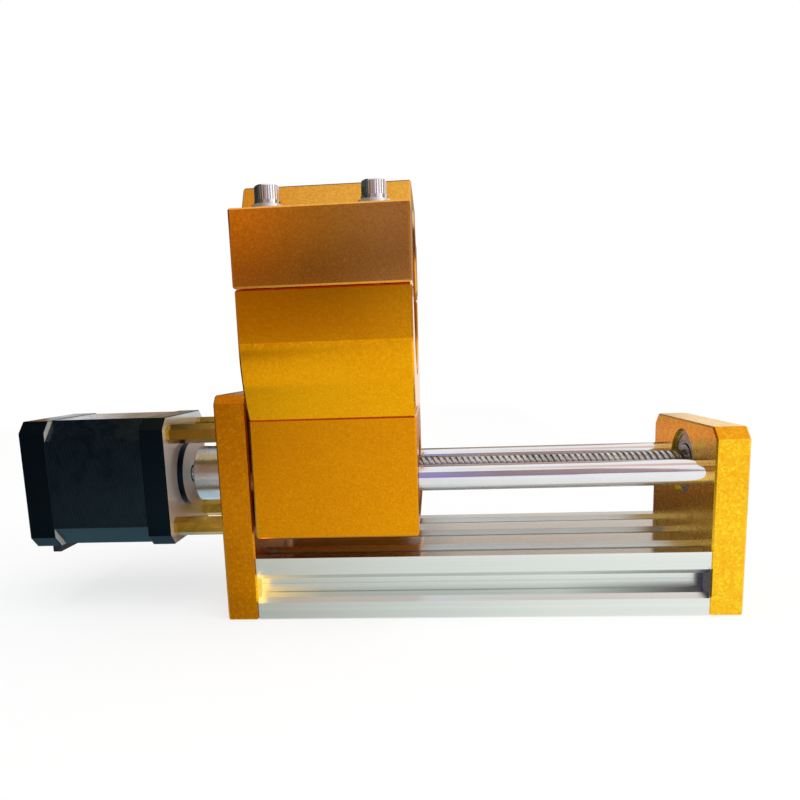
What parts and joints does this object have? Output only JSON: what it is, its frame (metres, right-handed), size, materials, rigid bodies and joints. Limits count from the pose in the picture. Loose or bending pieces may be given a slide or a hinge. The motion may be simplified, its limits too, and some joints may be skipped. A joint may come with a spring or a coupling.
{
  "type": "linear z-axis module",
  "caption": "Linear z-axis module: slotted rail between plates, stepper motor on standoffs driving a lead screw, and a carriage on guide rods with a split round spindle clamp.",
  "frame": {"origin": "centre of the overall box at the rail's back face, on which the module lies", "axes": "+X along the rail from the motor to the idle end, +Y across the rail, +Z from the rail's back to the clamp"},
  "size_m": [0.228, 0.086, 0.1323],
  "materials": {
    "gold_anodise": "gold anodised over a fine blasted surface",
    "rail_aluminium": "extruded, clear anodised, fine lengthwise lines",
    "black_paint": "black paint, satin",
    "black_laminations": "black lacquer over stacked laminations, glossy",
    "connector_plastic": "moulded black plastic",
    "standoff_brass": "dull drawn brass",
    "nut_brass": "turned brass",
    "rod_chrome": "ground and hard chromed",
    "bearing_steel": "ground bearing steel",
    "screw_steel": "turned steel",
    "coupler_aluminium": "turned, clear anodised",
    "bright_screws": "stainless steel, knurled heads",
    "dark_screws": "black oxide steel"
  },
  "bodies": {
    "frame": {"base_rail": "rail_aluminium", "motor_plate": "gold_anodise", "end_plate": "gold_anodise", "guide_rods": "rod_chrome", "rail_screws": "dark_screws", "rod_end_screws": "dark_screws", "motor_front_cap": "black_paint", "motor_stack": "black_laminations", "motor_rear_cap": "black_paint", "motor_tie_screws": "dark_screws", "motor_bearings": "bearing_steel", "motor_connector": "connector_plastic", "motor_standoffs": "standoff_brass", "standoff_screws": "dark_screws", "end_bearing_outer_ring": "bearing_steel"},
    "leadscrew": {"lead_screw": "screw_steel", "motor_shaft": "screw_steel", "motor_rotor": "screw_steel", "shaft_coupler": "coupler_aluminium", "coupler_set_screws": "dark_screws", "end_bearing_inner_ring": "bearing_steel"},
    "carriage": {"carriage_block": "gold_anodise", "linear_bearings": "bearing_steel", "bearing_set_screws": "dark_screws", "lead_nut": "nut_brass", "nut_screws": "dark_screws", "clamp_base": "gold_anodise", "clamp_mount_screws": "dark_screws", "clamp_cap": "gold_anodise", "clamp_screws": "bright_screws", "clamp_spring_washers": "bright_screws", "clamp_washers": "bright_screws"}
  },
  "joints": [
    {"name": "carriage_slide", "type": "slide", "parent": "frame", "child": "carriage", "axis": [1, 0, 0], "range_m": [0, 0.086]},
    {"name": "screw_turn", "type": "hinge", "parent": "frame", "child": "leadscrew", "pos_m": [0, 0, 0.04335], "axis": [1, 0, 0], "range_deg": [-3900, 30]}
  ],
  "couplings": [
    {"joint": "screw_turn", "follows": "carriage_slide", "rad_per_m": -785.4}
  ]
}
